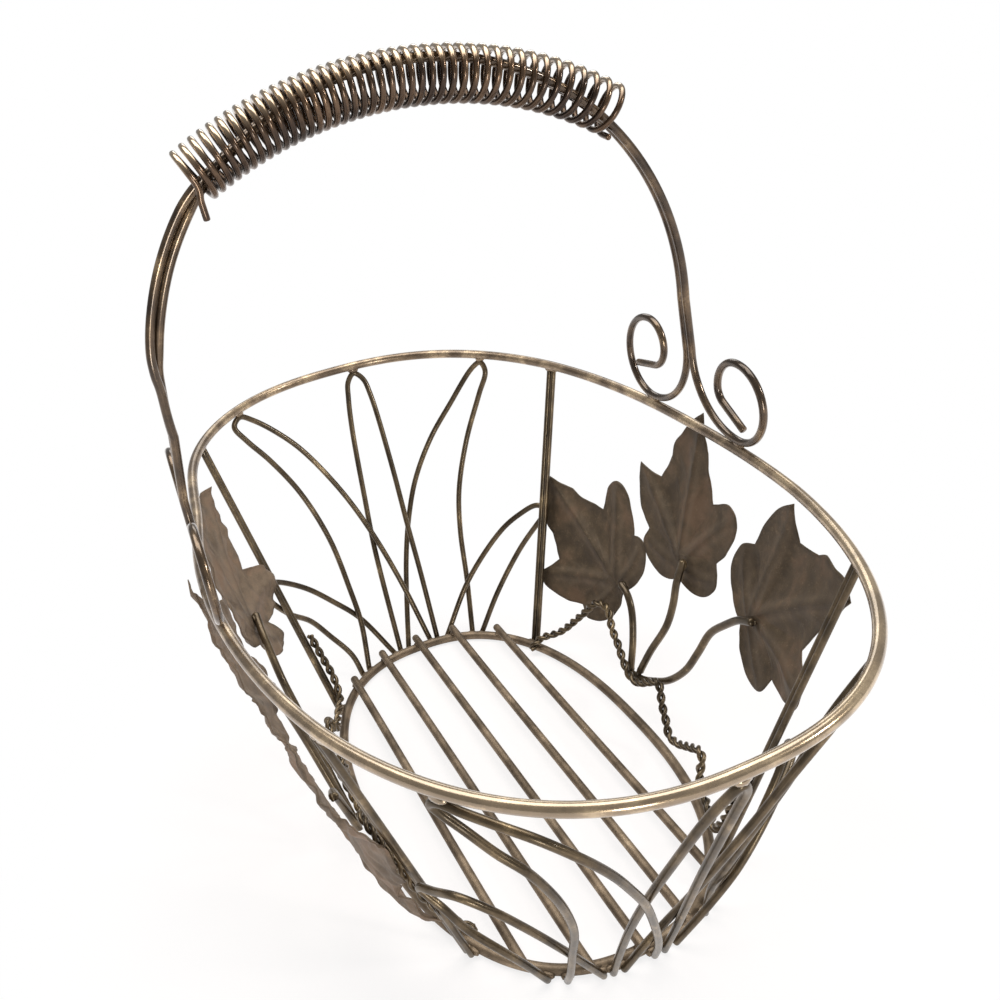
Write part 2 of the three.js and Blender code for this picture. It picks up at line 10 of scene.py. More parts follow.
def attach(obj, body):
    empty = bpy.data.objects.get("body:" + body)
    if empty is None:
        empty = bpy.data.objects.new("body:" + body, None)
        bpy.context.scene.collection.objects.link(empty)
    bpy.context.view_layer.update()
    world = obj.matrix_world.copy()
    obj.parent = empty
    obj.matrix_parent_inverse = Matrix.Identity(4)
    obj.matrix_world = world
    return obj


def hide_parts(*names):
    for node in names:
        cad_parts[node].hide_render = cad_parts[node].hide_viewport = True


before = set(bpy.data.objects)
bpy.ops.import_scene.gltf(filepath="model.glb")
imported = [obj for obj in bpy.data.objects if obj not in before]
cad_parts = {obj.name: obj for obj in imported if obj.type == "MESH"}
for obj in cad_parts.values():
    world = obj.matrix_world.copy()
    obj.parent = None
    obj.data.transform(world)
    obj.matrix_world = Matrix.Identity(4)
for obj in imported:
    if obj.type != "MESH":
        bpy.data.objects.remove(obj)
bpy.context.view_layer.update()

# Lengths below are in millimetres, Blender's are in metres
MM = 0.001
UP = np.array([0.0, 0.0, 1.0])
ACROSS = np.array([1.0, 0.0, 0.0])

# Wire and sheet sizes
SEAT = 0.3  # gap that the solids keep where two pieces touch
HOOP_WIRE = 4
BAR_WIRE = 3.4
WALL_WIRE = 2.5
POST_WIRE = 2.2
STEM_WIRE = 3
HANDLE_WIRE = 2.8
COIL_WIRE = 2
VINE_WIRE = 1.5
LEAF_SHEET = 0.6

# The two hoops; the rim is pressed in on the left
HOOP_FLAT = HOOP_WIRE / 2 * math.cos(math.pi / 8)  # from a solid hoop's middle to its flats
HOOP_ROUND = 1.92  # radius of the drawn wire
RIM = {"half_width": 93, "half_length": 160, "squareness": 2.36, "height": 124}
PRESSED = {"depth": 5.2, "along": 55, "reach": 40}
BASE = {"half_width": 58, "half_length": 99, "squareness": 2.4, "height": HOOP_FLAT}
BAR_COUNT = 5
BAR_PITCH = 17.9
BAR_OVERHANG = 3.6  # from the hoop's middle to a bar's tip

# The handle and its grip
HANDLE_TOP = 265.4
ARCH_LEAN = 1.5  # how far left the arch stands
ARCH_TURN = 118  # degrees of the round arch, from the right leg up and over
# A leg's scroll from the leg down and in: radii of its bends, turn of the hook in degrees, straight tail
SCROLLS = {
    "far": {"foot": 24.9, "loop": 15.6, "curl": 9.5, "hook": 8.8, "hook_turn": 80, "tail": 12},
    "near": {"foot": 26.6, "loop": 14.2, "curl": 11.4, "hook": 6.2, "hook_turn": 60, "tail": 13},
}
# The left leg from the centre of the arch: degrees, mm, and how far the pair is turned
LEFT_LEG = [
    [124, 92.5, 0], [129.5, 92.9, 30], [134, 93, 60], [138.5, 92.6, 78], [146, 91.7, 80], [153, 90.8, 80],
    [160, 90, 70], [166, 89.1, 32], [171, 87.8, 8], [179, 86.9, 0],
]
COIL_WIDTH = 17
COIL_TURNS = 42.75
COIL_REACH = 67  # half of its span across the basket
COIL_SLIP = 4.5  # how far it has slipped to the right
COIL_TAILS = {"left": {"length": 11, "droop": 2.2}, "right": {"length": 3, "droop": 0}}
COIL_CLOSEST = 0.27  # share of its length where the turns sit closest
COIL_OPENING = 1.44  # how much they open out from there


class Oval:
    """A level oval, started at +X and run anticlockwise by its length."""

    def __init__(self, half_width, half_length, squareness, height, pressed=None):
        self.pressed = pressed
        self.half_width = half_width
        self.half_length = half_length
        self.squareness = squareness
        angle = np.linspace(0, 2 * math.pi, 5761)
        across, along = np.cos(angle), np.sin(angle)
        fill = np.abs(across / half_width) ** squareness + np.abs(along / half_length) ** squareness
        reach = fill ** (-1 / squareness)
        x, y = reach * across, reach * along
        x = x + np.where(across < 0, self.dent_at(y), 0)
        self.points = np.stack([x, y, np.full_like(angle, height)], 1)
        steps = np.linalg.norm(np.diff(self.points, axis=0), axis=1)
        self.travel = np.concatenate([[0], np.cumsum(steps)])
        self.length = self.travel[-1]

    def point(self, turn):
        travel = np.mod(turn, 1) * self.length
        return np.stack([np.interp(travel, self.travel, self.points[:, i]) for i in range(3)], -1)

    def tangent(self, turn):
        step = 1e-4
        ahead = self.point(np.asarray(turn) + step) - self.point(np.asarray(turn) - step)
        return ahead / np.linalg.norm(ahead, axis=-1, keepdims=True)

    def dent_at(self, y):
        """How far the left side is pressed in at a distance y from the short axis."""
        if not self.pressed:
            return 0 * y
        return self.pressed["depth"] * np.exp(-(((y - self.pressed["along"]) / self.pressed["reach"]) ** 2))

    def length_at(self, x):
        share = 1 - abs(x / self.half_width) ** self.squareness
        return self.half_length * share ** (1 / self.squareness)

    def width_at(self, y):
        share = 1 - abs(y / self.half_length) ** self.squareness
        return self.half_width * share ** (1 / self.squareness)


rim = Oval(**RIM, pressed=PRESSED)
base = Oval(**BASE)
WALL_REACH = HOOP_FLAT + WALL_WIRE / 2 + SEAT


def unit(vector):
    return vector / np.linalg.norm(vector, axis=-1, keepdims=True)


def on_wall(around, up, out=0):
    """around: turns from +X, up: 0 beside the base hoop and 1 under the rim, out: mm off the wall."""
    around, up, out = np.broadcast_arrays(np.asarray(around, float), up, out)
    low, high = base.point(around), rim.point(around)
    share = np.clip(up, 0, 1)[..., None]
    along = base.tangent(around) * (1 - share) + rim.tangent(around) * share
    outward = unit(np.cross(along, high - low))
    low = low + outward * WALL_REACH
    high = high - UP * WALL_REACH
    return low + (high - low) * np.asarray(up)[..., None] + outward * np.asarray(out)[..., None]


def smooth(points, per_span):
    """A smooth line through the points, with the same number of steps in each span."""
    points = np.asarray(points, float)
    padded = np.vstack([2 * points[0] - points[1], points, 2 * points[-1] - points[-2]])
    line = []
    for i in range(1, len(padded) - 2):
        before, start, end, after = padded[i - 1 : i + 3]
        gaps = [np.linalg.norm(b - a) ** 0.5 for a, b in ((before, start), (start, end), (end, after))]
        first, middle, last = gaps
        leave = (start - before) / first - (end - before) / (first + middle) + (end - start) / middle
        arrive = (end - start) / middle - (after - start) / (middle + last) + (after - end) / last
        leave, arrive = leave * middle, arrive * middle
        for t in np.arange(per_span) / per_span:
            bend = (3 * (end - start) - 2 * leave - arrive) * t**2
            turn = (2 * (start - end) + leave + arrive) * t**3
            line.append(start + leave * t + bend + turn)
    return np.array([*line, points[-1]])


# ---------------------------------------------------------------- finishes


class Value:
    """A number or colour that changes over a surface, used in plain sums."""

    def __init__(self, nodes, socket):
        self.nodes = nodes
        self.socket = socket

    def sum(self, operation, first, second):
        return self.nodes.node("ShaderNodeMath", {"operation": operation}, {0: first, 1: second})

    def __add__(self, other):
        return self.sum("ADD", self, other)

    def __radd__(self, other):
        return self.sum("ADD", other, self)

    def __sub__(self, other):
        return self.sum("SUBTRACT", self, other)

    def __rsub__(self, other):
        return self.sum("SUBTRACT", other, self)

    def __mul__(self, other):
        return self.sum("MULTIPLY", self, other)

    def __rmul__(self, other):
        return self.sum("MULTIPLY", other, self)


class Nodes:
    """An emptied node tree that is filled by one method."""

    def __init__(self, owner):
        owner.use_nodes = True
        self.tree = owner.node_tree
        self.tree.nodes.clear()

    def node(self, kind, settings=None, inputs=None, output=0):
        """Settings are set first, then the sockets get their values or links."""
        made = self.tree.nodes.new(kind)
        for name, setting in (settings or {}).items():
            setattr(made, name, setting)
        for name, value in (inputs or {}).items():
            if isinstance(value, Value):
                self.tree.links.new(value.socket, made.inputs[name])
            else:
                made.inputs[name].default_value = value
        return Value(self, made.outputs[output]) if made.outputs else None

    def vector(self, operation, inputs, output=0):
        return self.node("ShaderNodeVectorMath", {"operation": operation}, inputs, output)


class Finish(Nodes):
    """A material of the basket or the floor."""

    def __init__(self, name):
        self.material = bpy.data.materials.new(name)
        super().__init__(self.material)

    def place(self):
        """Metres from the middle of the basket's foot."""
        return self.node("ShaderNodeTexCoord", output="Object")

    def along_wire(self, stretch):
        """Turns round the wire and metres along it, stretched."""
        return self.vector("MULTIPLY", {0: self.node("ShaderNodeTexCoord", output="UV"), 1: stretch})

    def speckle(self, grain, where=None, detail=3, roughness=0.55):
        """Cloudy noise, 0 to 1, with blotches about as wide as the grain in mm."""
        inputs = {"Vector": where or self.place(), "Scale": 1 / (grain * MM), "Detail": detail}
        inputs["Roughness"] = roughness
        return self.node("ShaderNodeTexNoise", inputs=inputs)

    def between(self, value, low, high):
        """0 below low, 1 above high and a soft step between."""
        settings = {"interpolation_type": "SMOOTHSTEP"}
        return self.node("ShaderNodeMapRange", settings, {"Value": value, "From Min": low, "From Max": high})

    def blend(self, mask, first, second):
        return self.node("ShaderNodeMix", {"data_type": "RGBA"}, {0: mask, 6: first, 7: second}, output=2)

    def measure(self, name):
        """A value stored on the mesh."""
        return self.node("ShaderNodeAttribute", {"attribute_name": name}, output="Fac")

    def bump(self, height, depth):
        """Height 0 to 1 becomes a relief of that depth in mm."""
        return self.node("ShaderNodeBump", inputs={"Height": height, "Distance": depth * MM, "Strength": 1.0})

    def show(self, surface):
        self.node("ShaderNodeOutputMaterial", inputs={"Surface": surface})
        return self.material

    def done(self, **inputs):
        named = {name.replace("_", " "): value for name, value in inputs.items()}
        return self.show(self.node("ShaderNodeBsdfPrincipled", inputs=named))


def rgb(red, green, blue):
    """A colour given as it looks on a screen, 0 to 255."""
    shares = [channel / 255 for channel in (red, green, blue)]
    return (*[v / 12.92 if v <= 0.04045 else ((v + 0.055) / 1.055) ** 2.4 for v in shares], 1.0)


SOOT = rgb(48, 38, 31)


def antique_metal(name, tones, wear, roughness, coat, shine=1.5, metallic=0.72, highlit_and_polished=None):
    """Clear lacquer over toned metal: dark in blotches, rubbed pale in streaks along the wire.

    tones: the dark, the body and the worn colour, wear: the lower, the more of it is worn, shine: the lacquer's
    index of refraction; the last argument gives where a painted highlight pales the colour and the metal is smoother
    and glossier.
    """
    dark, body, worn = tones
    metal = Finish(name)
    cloud = metal.speckle(11)
    fine = metal.speckle(0.9)
    streak = metal.speckle(3, metal.along_wire((0.006, 0.25, 1)), detail=2)
    tone = metal.between(0.6 * cloud + 0.4 * streak, 0.38, 0.62)
    colour = metal.blend(tone, dark, body)
    rubbed = metal.between(0.5 * cloud + 0.2 * fine + 0.3 * streak, wear, wear + 0.14)
    colour = metal.blend(0.7 * rubbed, colour, worn)
    spots = metal.between(metal.speckle(1.8, detail=2), 0.62, 0.72)
    colour = metal.blend(0.4 * spots, colour, SOOT)
    matt = roughness + 0.1 * fine - 0.08 * rubbed
    # Painted highlight: the colour is paled towards the worn tone over this part, and the metal is also smoother and
    # more lacquered there
    if highlit_and_polished:
        measured = metal.vector("MULTIPLY", {0: metal.place(), 1: highlit_and_polished["axes"]})
        away = metal.vector("DISTANCE", {0: measured, 1: highlit_and_polished["centre"]}, "Value")
        highlight_and_polish = metal.between(away, highlit_and_polished["starts"], highlit_and_polished["full"])
        colour = metal.blend(highlit_and_polished["pale"] * highlight_and_polish, colour, worn)
        matt = matt - 0.1 * highlight_and_polish
        coat = coat * (0.4 + 0.6 * highlight_and_polish)
    return metal.done(
        Base_Color=colour,
        Metallic=metallic,
        Roughness=matt,
        Coat_Weight=coat,
        Coat_Roughness=0.07,
        Coat_IOR=shine,
        Normal=metal.bump(0.6 * fine + 0.4 * streak, 0.025),
    )


HOOP_TONES = rgb(108, 92, 75), rgb(156, 136, 112), rgb(216, 194, 160)
BASE_TONES = rgb(100, 87, 72), rgb(144, 127, 107), rgb(186, 166, 140)
WIRE_TONES = rgb(72, 62, 48), rgb(112, 97, 75), rgb(184, 162, 126)
HANDLE_TONES = rgb(60, 48, 37), rgb(108, 89, 68), rgb(192, 167, 131)
COIL_TONES = rgb(54, 40, 30), rgb(104, 82, 62), rgb(212, 188, 156)

# The rim's near half, measured along the basket from its far end: painted highlight, paled and made glossier there
NEAR_HIGHLIGHT = {"axes": (0, 1, 0), "centre": (0, 0.17, 0), "starts": 0.17, "full": 0.3, "pale": 0.25}

hoop_metal = antique_metal("hoop_antique", HOOP_TONES, wear=0.49, roughness=0.3, coat=1, shine=1.6, highlit_and_polished=NEAR_HIGHLIGHT)
base_metal = antique_metal("base_antique", BASE_TONES, wear=0.55, roughness=0.5, coat=0.06)
wire_metal = antique_metal("wire_antique", WIRE_TONES, wear=0.55, roughness=0.29, coat=0.15)
handle_metal = antique_metal("handle_antique", HANDLE_TONES, wear=0.54, roughness=0.2, coat=0.7)

RUST = rgb(122, 92, 74)
# Colour of the painted highlight beside the veins
RIDGE_HIGHLIGHT = rgb(150, 134, 116)
# Colour of the painted shade in the creases, also used for the dark edge
CREASE_SHADE_AND_EDGE = rgb(46, 38, 31)
SCUFF_PALE = rgb(160, 142, 118)


def leaf_paint(name, dark, body):
    """Matt brown paint on stamped sheet: soft clouds, a reddish cast here and there, painted shade in the creases and
    a dark edge, painted highlight beside the veins.
    """
    paint = Finish(name)
    cloud = paint.speckle(16)
    mottle = paint.speckle(3.4, detail=4, roughness=0.6)
    grain = paint.speckle(0.45)
    tone = paint.between(0.5 * cloud + 0.3 * mottle + 0.2 * grain, 0.36, 0.64)
    colour = paint.blend(tone, dark, body)
    rusty = paint.between(0.7 * cloud + 0.3 * mottle, 0.5, 0.66)
    colour = paint.blend(0.35 * rusty, colour, RUST)
    # Painted highlight beside the main veins
    colour = paint.blend(0.16 * paint.measure("ridge_highlight"), colour, RIDGE_HIGHLIGHT)
    # Painted shade in the creases, and the dark edge
    colour = paint.blend(0.24 * paint.measure("crease_shade_and_edge"), colour, CREASE_SHADE_AND_EDGE)
    scuffed = paint.between(0.4 * mottle + 0.6 * grain, 0.56, 0.68)
    colour = paint.blend(0.3 * scuffed, colour, SCUFF_PALE)
    return paint.done(
        Base_Color=colour,
        Metallic=0.3,
        Roughness=0.5 + 0.16 * mottle,
        Normal=paint.bump(0.5 * mottle + 0.5 * grain, 0.12),
    )


# The left sheets get a lighter copy of the paint: painted light, for the light that falls more on them than on the
# right sheets
LEAF_PAINTS = {
    "right": leaf_paint("leaf_paint_right", rgb(73, 62, 49), rgb(104, 89, 70)),
    "left": leaf_paint("leaf_paint_left_lit", rgb(98, 85, 71), rgb(134, 116, 97)),
}

# ---------------------------------------------------------------- making pieces


def add_mesh(name, vertices, faces, finish, nodes, round_coords=None):
    """A piece that stands for the solids of these nodes, or is added where there are none."""
    mesh = bpy.data.meshes.new(name)
    mesh.from_pydata((np.asarray(vertices) * MM).tolist(), [], faces)
    mesh.materials.append(finish)
    mesh.polygons.foreach_set("use_smooth", [True] * len(mesh.polygons))
    if round_coords is not None:
        layer = mesh.uv_layers.new(name="wire")
        layer.data.foreach_set("uv", np.asarray(round_coords, np.float32).ravel())
    mesh.update()
    made = bpy.data.objects.new(name, mesh)
    bpy.context.scene.collection.objects.link(made)
    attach(made, "root")
    if nodes:
        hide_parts(*nodes)
    return made


def carried_frames(path, closed):
    """Directions across the wire at every station, carried along without twist."""
    if closed:
        ahead = unit(np.roll(path, -1, 0) - np.roll(path, 1, 0))
    else:
        ahead = unit(np.gradient(path, axis=0))
    side = np.cross(ahead[0], UP if abs(ahead[0][2]) < 0.9 else ACROSS)
    sides = [unit(side)]
    for i in range(1, len(path)):
        carried = sides[-1] - ahead[i] * np.dot(sides[-1], ahead[i])
        sides.append(unit(carried))
    sides = np.array(sides)
    return ahead, sides, np.cross(ahead, sides)


CUT_EDGE = (24, 48, 70)  # degrees over the edge of a cut end, ring by ring


def tube_mesh(path, radius, sides, closed, dome):
    """Vertices, faces and (round, along) coordinates of a round wire with softly cut ends."""
    path = np.asarray(path, float)
    ahead, right, over = carried_frames(path, closed)
    rings = [(path[i], right[i], over[i], radius) for i in range(len(path))]
    if not closed:
        for end, sign in ((0, -1), (-1, 1)):
            cap = []
            for angle in CUT_EDGE:
                lean = math.radians(angle)
                tip = path[end] + sign * ahead[end] * radius * dome * math.sin(lean)
                width = 0.3 + 0.7 * math.cos(lean) if angle < CUT_EDGE[-1] else 0.35
                cap.append((tip, right[end], over[end], radius * width))
            rings = cap[::-1] + rings if end == 0 else rings + cap
    angle = np.linspace(0, 2 * math.pi, sides, endpoint=False)
    cos, sin = np.cos(angle)[:, None], np.sin(angle)[:, None]
    vertices = np.concatenate([centre + r * (a * cos + b * sin) for centre, a, b, r in rings])
    centres = np.array([ring[0] for ring in rings])
    travel = np.concatenate([[0], np.cumsum(np.linalg.norm(np.diff(centres, axis=0), axis=1))]) * MM
    count = len(rings)
    faces, coords = [], []
    for i in range(count if closed else count - 1):
        j = (i + 1) % count
        after = travel[j] if j else travel[-1] + travel[1]
        for k in range(sides):
            m = (k + 1) % sides
            faces.append((i * sides + k, i * sides + m, j * sides + m, j * sides + k))
            u, v = k / sides, (k + 1) / sides
            coords += [(u, travel[i]), (v, travel[i]), (v, after), (u, after)]
    if not closed:
        first = list(range(sides))[::-1]
        last = [(count - 1) * sides + k for k in range(sides)]
        faces += [tuple(first), tuple(last)]
        coords += [(k / sides, travel[0]) for k in first] + [(k / sides, travel[-1]) for k in range(sides)]
    return vertices, faces, coords


def wire(name, path, diameter, finish, nodes, sides=16, closed=False, dome=0.7):
    """dome: how far a cut end bulges, as a share of the radius."""
    vertices, faces, coords = tube_mesh(path, diameter / 2, sides, closed, dome)
    add_mesh(name, vertices, faces, finish, nodes, coords)


# Beads by the group of pieces that they join
welds = {}


def weld(group, centre, along, toward, length, width, height):
    """Notes a weld bead: centre, the direction of its long side, the direction it bulges in and half its sizes."""
    bead = np.asarray(centre, float), unit(along), unit(toward), (length, height, width)
    welds.setdefault(group, []).append(bead)


# ---------------------------------------------------------------- hoops and base

HOOP_STATIONS = 420
turns = np.arange(HOOP_STATIONS) / HOOP_STATIONS


def hoop_path(oval, lift=0.0):
    """The hoop's line, a touch uneven as a bent rod is."""
    path = oval.point(turns) + UP * lift
    sway = 0.22 * np.sin(2 * math.pi * (3 * turns + 0.2)) + 0.13 * np.sin(2 * math.pi * (7 * turns + 0.6))
    return path - unit(path * [1, 1, 0]) * (0.15 + np.abs(sway))[:, None]


wire("rim_ring", hoop_path(rim), 2 * HOOP_ROUND, hoop_metal, ["rim_hoop"], sides=24, closed=True)
base_path = base.point(turns) + UP * (HOOP_ROUND - HOOP_FLAT)
wire("base_ring", base_path, 2 * HOOP_ROUND, base_metal, ["base_hoop"], sides=24, closed=True)

BAR_HEIGHT = 2 * HOOP_FLAT + SEAT + BAR_WIRE / 2
for i in range(BAR_COUNT):
    x = (i - (BAR_COUNT - 1) / 2) * BAR_PITCH
    half = base.length_at(x) + BAR_OVERHANG
    y = np.linspace(-half + 1, half - 1, 60)
    bow = 0.15 * np.sin(y / 31 + i)
    rod = np.stack([np.full_like(y, x) + bow, y, np.full_like(y, BAR_HEIGHT)], 1)
    wire(f"base_rod_{i + 1}", rod, BAR_WIRE, base_metal, [f"base_bar_{i + 1}"], sides=18, dome=0.66)
    for end in (-1, 1):
        crossing = np.array([x, end * base.length_at(x), BAR_HEIGHT - 1.6])
        weld("base", crossing, [1, 0, 0], [0, end, 0.4], 2.1, 1.7, 1.0)

# ---------------------------------------------------------------- wall wires

SLOPE = np.linalg.norm(on_wall(0, 1) - on_wall(0, 0))
FOOT = 1 / SLOPE
HEAD = 1 + 0.75 / SLOPE
TIP = 0.998
POSTS = {
    "far_right": {"head": 0.1128, "foot": 0.1392},
    "far_left": {"head": 0.3573, "foot": 0.3552},
    "near_left": {"head": 0.6128, "foot": 0.6392},
    "near_right": {"head": 0.8704, "foot": 0.846},
}


def weld_to_base(point, turn):
    """A bead between the foot of a wall wire and the base hoop; turn: where it stands on the hoop."""
    hoop = base.point(turn)
    weld("base", hoop + (point - hoop) * 0.55, base.tangent(turn), point - hoop, 2.3, 1.3, 1.5)


def weld_to_rim(point, turn):
    """A bead between the top of a wall wire and the rim."""
    hoop = rim.point(turn)
    weld("rim", hoop + (point - hoop) * 0.6, rim.tangent(turn), point - hoop, 2.4, 1.35, 1.5)


POST_OUT = (POST_WIRE - WALL_WIRE) / 2
BEAD_APART = 1.4
for corner, ends in POSTS.items():
    low, high = on_wall(ends["foot"], FOOT, POST_OUT), on_wall(ends["head"], HEAD, POST_OUT)
    apart = rim.tangent(ends["head"]) * (POST_WIRE + SEAT) / 2
    for i, side in enumerate((-1, 1)):
        path = low + side * apart + np.linspace(0, 1, 40)[:, None] * (high - low)
        name = f"post_{corner}_{i + 1}"
        wire(f"{name}_rod", path, POST_WIRE, wire_metal, [name], dome=0.5)
        weld_to_base(path[0], ends["foot"] + side * BEAD_APART / base.length)
        weld_to_rim(path[-1], ends["head"] + side * BEAD_APART / rim.length)

LAYER = WALL_WIRE + SEAT
BLADE_RIM = 831.6  # length of the rim that the stations are written for
# A blade from foot to foot: mm round the rim from the panel's middle, how far up, mm off the wall
BLADES = {
    "far": {
        "left_low": [
            [17.5, FOOT], [32.3, 0.18], [45.5, 0.28], [60, 0.385, 0.4 * LAYER], [79, 0.485, LAYER],
            [87, 0.503, LAYER], [92, 0.503, LAYER], [95, 0.491, LAYER], [93.4, 0.466, LAYER],
            [81.2, 0.37, LAYER], [66, 0.284, LAYER], [56.2, 0.19, LAYER], [49.5, 0.09], [47.5, FOOT],
        ],
        "left_tall": [
            [-10.8, FOOT], [-1.3, 0.25, -LAYER], [7.2, 0.45, -LAYER], [16.3, 0.62, -LAYER],
            [29.2, 0.8, -LAYER], [38.5, 0.897, -0.5 * LAYER], [46.5, 0.965], [53, TIP], [59, 0.98],
            [56.5, 0.92, -0.4 * LAYER], [49.5, 0.82, -LAYER], [39.7, 0.67, -LAYER], [33.5, 0.48, -LAYER],
            [33.5, 0.29, -LAYER], [35, 0.17, -LAYER], [40.8, FOOT],
        ],
        "middle": [
            [-16.1, FOOT], [-16.4, 0.26], [-16.1, 0.42], [-16.1, 0.67], [-14.9, 0.91], [-13.3, 0.972],
            [-9.7, TIP], [-6, 0.972], [-4, 0.92], [-1.2, 0.81], [3.6, 0.56], [7.3, 0.38], [12.8, FOOT],
        ],
        "right_tall": [
            [-41.8, FOOT], [-44.1, 0.2, LAYER], [-45.6, 0.38, LAYER], [-49.2, 0.53, LAYER],
            [-57.8, 0.71, LAYER], [-69, 0.88, 0.5 * LAYER], [-74.8, 0.965], [-72.6, 0.996], [-68, 0.975],
            [-52.4, 0.84, 0.5 * LAYER], [-38.9, 0.72, LAYER], [-26.6, 0.58, LAYER], [-17.5, 0.44, LAYER],
            [-10.4, 0.31, LAYER], [-3.5, 0.17, LAYER], [6.5, FOOT],
        ],
        "right_low": [
            [-48.9, FOOT], [-65, 0.16], [-82.8, 0.33, LAYER], [-98.4, 0.45, LAYER], [-102.6, 0.482, LAYER],
            [-102.4, 0.504, LAYER], [-97, 0.506, LAYER], [-85.2, 0.46, LAYER], [-72.5, 0.39, 0.4 * LAYER],
            [-46, 0.2], [-23.5, FOOT],
        ],
    },
    "near": {
        "left_low": [
            [18, FOOT], [29, 0.16], [41, 0.28], [58.5, 0.4], [74, 0.466, 0.6 * LAYER],
            [82, 0.484, LAYER], [86, 0.482, LAYER], [88, 0.468, LAYER], [86.5, 0.447, LAYER],
            [80, 0.4, 0.7 * LAYER], [70, 0.32, 0.2 * LAYER], [54.5, 0.185], [49, 0.09], [47.5, FOOT],
        ],
        "left_tall": [
            [-12, FOOT], [-3.5, 0.12, -0.5 * LAYER], [5.5, 0.19, -LAYER], [11, 0.29, -LAYER],
            [18, 0.45, -LAYER], [25, 0.6, -LAYER], [33, 0.75, -LAYER], [41, 0.865, -0.7 * LAYER],
            [47, 0.93, -0.4 * LAYER], [52, 0.978], [55.5, TIP], [59, 0.98], [57, 0.92, -0.4 * LAYER],
            [51, 0.82, -LAYER], [42, 0.67, -LAYER], [35.5, 0.48, -LAYER], [34.5, 0.29, -LAYER],
            [35.5, 0.17, -LAYER], [40.8, FOOT],
        ],
        "middle": [
            [-17.6, FOOT], [-18.4, 0.17], [-18.2, 0.36], [-16.4, 0.52], [-12.8, 0.7], [-8.8, 0.88],
            [-6, 0.955], [-3, TIP], [-0.3, 0.965], [0.4, 0.88], [1.2, 0.74], [2.6, 0.55], [5, 0.36],
            [8, 0.18], [10.8, FOOT],
        ],
        "right_tall": [
            [-39.5, FOOT], [-39.3, 0.15, 0.95 * LAYER], [-39.3, 0.326, LAYER], [-39.4, 0.457, LAYER],
            [-41.8, 0.577, LAYER], [-46.2, 0.699, LAYER], [-52.8, 0.8, 0.8 * LAYER],
            [-60.2, 0.85, 0.5 * LAYER], [-67.9, 0.91, 0.2 * LAYER], [-74.2, 0.95], [-76.5, 0.98],
            [-73.5, TIP], [-68, 0.985], [-59, 0.965, 0.1 * LAYER], [-49.6, 0.945, 0.5 * LAYER],
            [-40.2, 0.89, 0.9 * LAYER], [-32.3, 0.803, LAYER], [-24.7, 0.679, LAYER], [-19.1, 0.574, LAYER],
            [-8.4, 0.318, LAYER], [-1, 0.15, 0.6 * LAYER], [4.9, FOOT],
        ],
        "right_low": [
            [-49, FOOT], [-57.9, 0.143, 0.4 * LAYER], [-65.6, 0.24, 0.8 * LAYER], [-79.4, 0.337, LAYER],
            [-87.2, 0.418, LAYER], [-93.5, 0.455, LAYER], [-95.8, 0.475, LAYER], [-94, 0.492, LAYER],
            [-88.2, 0.513, LAYER], [-76.6, 0.556, LAYER], [-66.4, 0.51, 0.6 * LAYER],
            [-55.5, 0.41, 0.2 * LAYER], [-42.8, 0.268], [-22.5, FOOT],
        ],
    },
}


WELDED_TIP = 0.9  # a blade that reaches further up is welded to the rim


def wall_path(middle, stations, per_span, rim_length=rim.length):
    """A smooth line on the wall through stations as above; middle: the panel's middle in turns."""
    full = np.array([[*station, 0][:3] for station in stations], float)
    return smooth(on_wall(middle + full[:, 0] / rim_length, full[:, 1], full[:, 2]), per_span)


for end, middle in (("far", 0.25), ("near", 0.75)):
    for blade, stations in BLADES[end].items():
        path = wall_path(middle, stations, 8, BLADE_RIM)
        name = f"blade_{end}_{blade}"
        wire(f"{name}_rod", path, WALL_WIRE, wire_metal, [name], dome=0.5)
        for tip in (0, -1):
            weld_to_base(path[tip], middle + stations[tip][0] / BLADE_RIM)
        top = max(stations, key=lambda station: station[1])
        if top[1] > WELDED_TIP:
            turn = middle + top[0] / BLADE_RIM
            weld_to_rim(on_wall(turn, 1), turn)

# ---------------------------------------------------------------- ivy leaves

# The stamping's edge as [x, y, pressed out]; the line breaks at the points and in the notches
LEAF_EDGE = [
    [-1, 0, 0.8], [6, -2.4, 1.1], [13.8, -2.5, 1.2], [20, 0.4, 1.1], [24.2, 4.4, 0.9], [26.2, 8, 1.2],
    [24.6, 13.6, 2.1], [29.5, 21, 1.5], [32.6, 31, 0.8], [31.6, 41, 0.2], [28, 39.6, 0.6], [24, 38.2, 1.4],
    [19.6, 37.3, 2.2], [16.2, 42.6, 2], [13.4, 47.8, 1.7], [12, 53.8, 1.3], [7.9, 57.8, 1], [2.6, 64, 0.7],
    [-4.4, 68.6, 0.3], [-5.8, 62, 0.8], [-9.3, 53.6, 1.2], [-9.8, 47.5, 1.6], [-12.8, 40.2, 1.9],
    [-14.5, 35, 2.2], [-18.5, 36.2, 1.7], [-25.5, 38.2, 1.1], [-30.8, 36.4, 0.5], [-32.6, 32.4, 0.5],
    [-31, 26.5, 1.3], [-26.8, 18.8, 1.8], [-21.8, 13.6, 2.1], [-24.7, 10.2, 1.2], [-25.5, 6.5, 0.9],
    [-22.8, 1.8, 1.1], [-17.2, -1.7, 1.2], [-9.5, -2.8, 1.1], [-4.5, -1.6, 1],
]
LEAF_CORNERS = [0, 6, 9, 12, 14, 18, 20, 22, 23, 30]
LEAF_HEART = np.array([0.0, 11.0])
LEAF_OUT = STEM_WIRE / 2 + SEAT + 0.4  # the sheet lies over the stems
NARROWING = base.length / rim.length
EDGE_STEPS = 7
LEAF_ROWS = 26  # rings of the sheet from the heart to the edge

